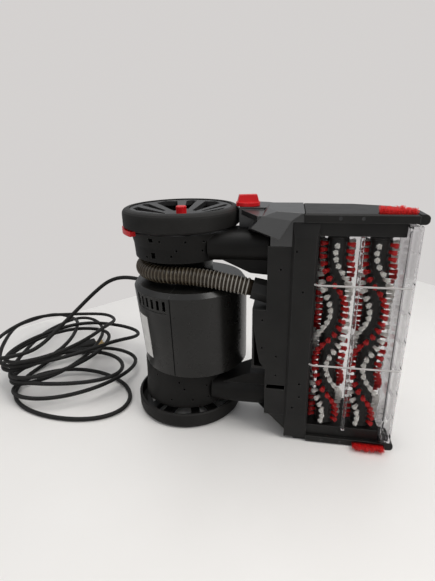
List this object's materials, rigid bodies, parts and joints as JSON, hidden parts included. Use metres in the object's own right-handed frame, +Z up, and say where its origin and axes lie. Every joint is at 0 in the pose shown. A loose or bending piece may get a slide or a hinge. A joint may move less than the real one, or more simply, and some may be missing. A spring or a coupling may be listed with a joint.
{
  "type": "upright carpet cleaner",
  "caption": "Floor unit of an upright carpet cleaner lying on its side: wheels, motor barrel, suction hose, brush rolls, clear nozzle, edge brushes, pedal, knob and power cord.",
  "frame": {"origin": "floor level, under the middle of the unit's box without its cord, as the unit lies on its side", "axes": "+X forward to the nozzle, +Y away from the sole towards the upright's socket, +Z up along the axle"},
  "size_m": [0.7566, 0.3557, 0.3483],
  "materials": {
    "tyre": "matte",
    "grey_plastic": "satin",
    "red_plastic": "gloss",
    "steel": "brushed",
    "dark_grey_plastic": "satin",
    "black_plastic": "satin",
    "clear_plastic": "clear",
    "red_bristle": "matte",
    "roll_bristle": "matte",
    "hose": "satin",
    "label": "matte",
    "brass": "polished",
    "motor": "satin",
    "aluminium": "turned",
    "belt": "matte",
    "pale_plastic": "matte",
    "cord": "satin"
  },
  "bodies": {
    "chassis": {"axle_stub_upper": "steel", "axle_stub_lower": "steel", "axle_clip_upper": "steel", "axle_clip_lower": "steel", "yoke_upper": "dark_grey_plastic", "yoke_lower": "dark_grey_plastic", "shoulder_cover_upper": "black_plastic", "shoulder_cover_lower": "black_plastic", "cheek_upper": "black_plastic", "cheek_lower": "black_plastic", "side_cover_upper": "black_plastic", "side_cover_lower": "black_plastic", "bumper_upper": "black_plastic", "bumper_lower": "black_plastic", "edge_brush_upper": "red_bristle", "edge_brush_lower": "red_bristle", "hood_shell": "black_plastic", "bay_crossbar": "black_plastic", "sole_plate": "black_plastic", "roll_bushes": "brass", "cover_screws": "steel", "hood_window": "clear_plastic", "nozzle_front": "clear_plastic", "nozzle_rear": "clear_plastic", "mid_rib": "clear_plastic", "guard_bars": "clear_plastic", "brush_motor": "motor", "drive_belt": "belt", "pump": "black_plastic", "spray_bar": "pale_plastic", "hose_cuff": "black_plastic"},
    "barrel": {"barrel_front_shell": "black_plastic", "barrel_rear_shell": "black_plastic", "vent_grille": "black_plastic", "label_plate": "label", "neck_socket": "black_plastic", "suction_motor": "motor", "suction_hose": "hose", "hose_port": "black_plastic", "cord_gland": "cord", "cord_run": "cord", "cord_heap": "cord", "plug_body": "cord", "plug_blades": "brass"},
    "wheel_upper": {"tyre_upper": "tyre", "rim_upper": "grey_plastic", "hub_cap_upper": "red_plastic"},
    "wheel_lower": {"tyre_lower": "tyre", "rim_lower": "grey_plastic", "hub_cap_lower": "red_plastic"},
    "pedal": {"release_pedal": "red_plastic"},
    "roll_rear": {"roll_core_rear": "black_plastic", "roll_bristles_rear": "roll_bristle"},
    "roll_front": {"roll_core_front": "black_plastic", "roll_bristles_front": "roll_bristle"},
    "pulley": {"motor_pulley": "aluminium"},
    "fan": {"suction_fan": "black_plastic"},
    "knob": {"mode_knob": "red_plastic"}
  },
  "joints": [
    {"name": "barrel_recline", "type": "hinge", "parent": "chassis", "child": "barrel", "pos_m": [-0.11525, -0.02185, 0.168], "axis": [0, 0, 1], "range_deg": [0, 55], "deforming": ["suction_hose"]},
    {"name": "wheel_upper_spin", "type": "hinge", "parent": "chassis", "child": "wheel_upper", "pos_m": [-0.11525, -0.02185, 0.168], "axis": [0, 0, 1], "continuous": true},
    {"name": "wheel_lower_spin", "type": "hinge", "parent": "chassis", "child": "wheel_lower", "pos_m": [-0.11525, -0.02185, 0.168], "axis": [0, 0, 1], "continuous": true},
    {"name": "roll_rear_spin", "type": "hinge", "parent": "chassis", "child": "roll_rear", "pos_m": [0.10475, -0.08335, 0.168], "axis": [0, 0, 1], "continuous": true},
    {"name": "roll_front_spin", "type": "hinge", "parent": "chassis", "child": "roll_front", "pos_m": [0.15575, -0.08335, 0.168], "axis": [0, 0, 1], "continuous": true},
    {"name": "motor_pulley_spin", "type": "hinge", "parent": "chassis", "child": "pulley", "pos_m": [0.04475, -0.06185, 0.168], "axis": [0, 0, 1], "continuous": true},
    {"name": "fan_spin", "type": "hinge", "parent": "barrel", "child": "fan", "pos_m": [-0.10325, -0.02185, 0.168], "axis": [0, 0, 1], "continuous": true},
    {"name": "pedal_press", "type": "hinge", "parent": "chassis", "child": "pedal", "pos_m": [-0.11525, -0.02185, 0.168], "axis": [0, 0, 1], "range_deg": [0, 12], "stiffness_Nm_per_rad": 0.6},
    {"name": "knob_turn", "type": "hinge", "parent": "chassis", "child": "knob", "pos_m": [-0.01625, -0.02185, 0.168], "axis": [0, 0, 1], "range_deg": [0, 90]}
  ],
  "couplings": [
    {"joint": "roll_front_spin", "follows": "roll_rear_spin", "ratio": 1},
    {"joint": "motor_pulley_spin", "follows": "roll_rear_spin", "ratio": 1.4286}
  ]
}
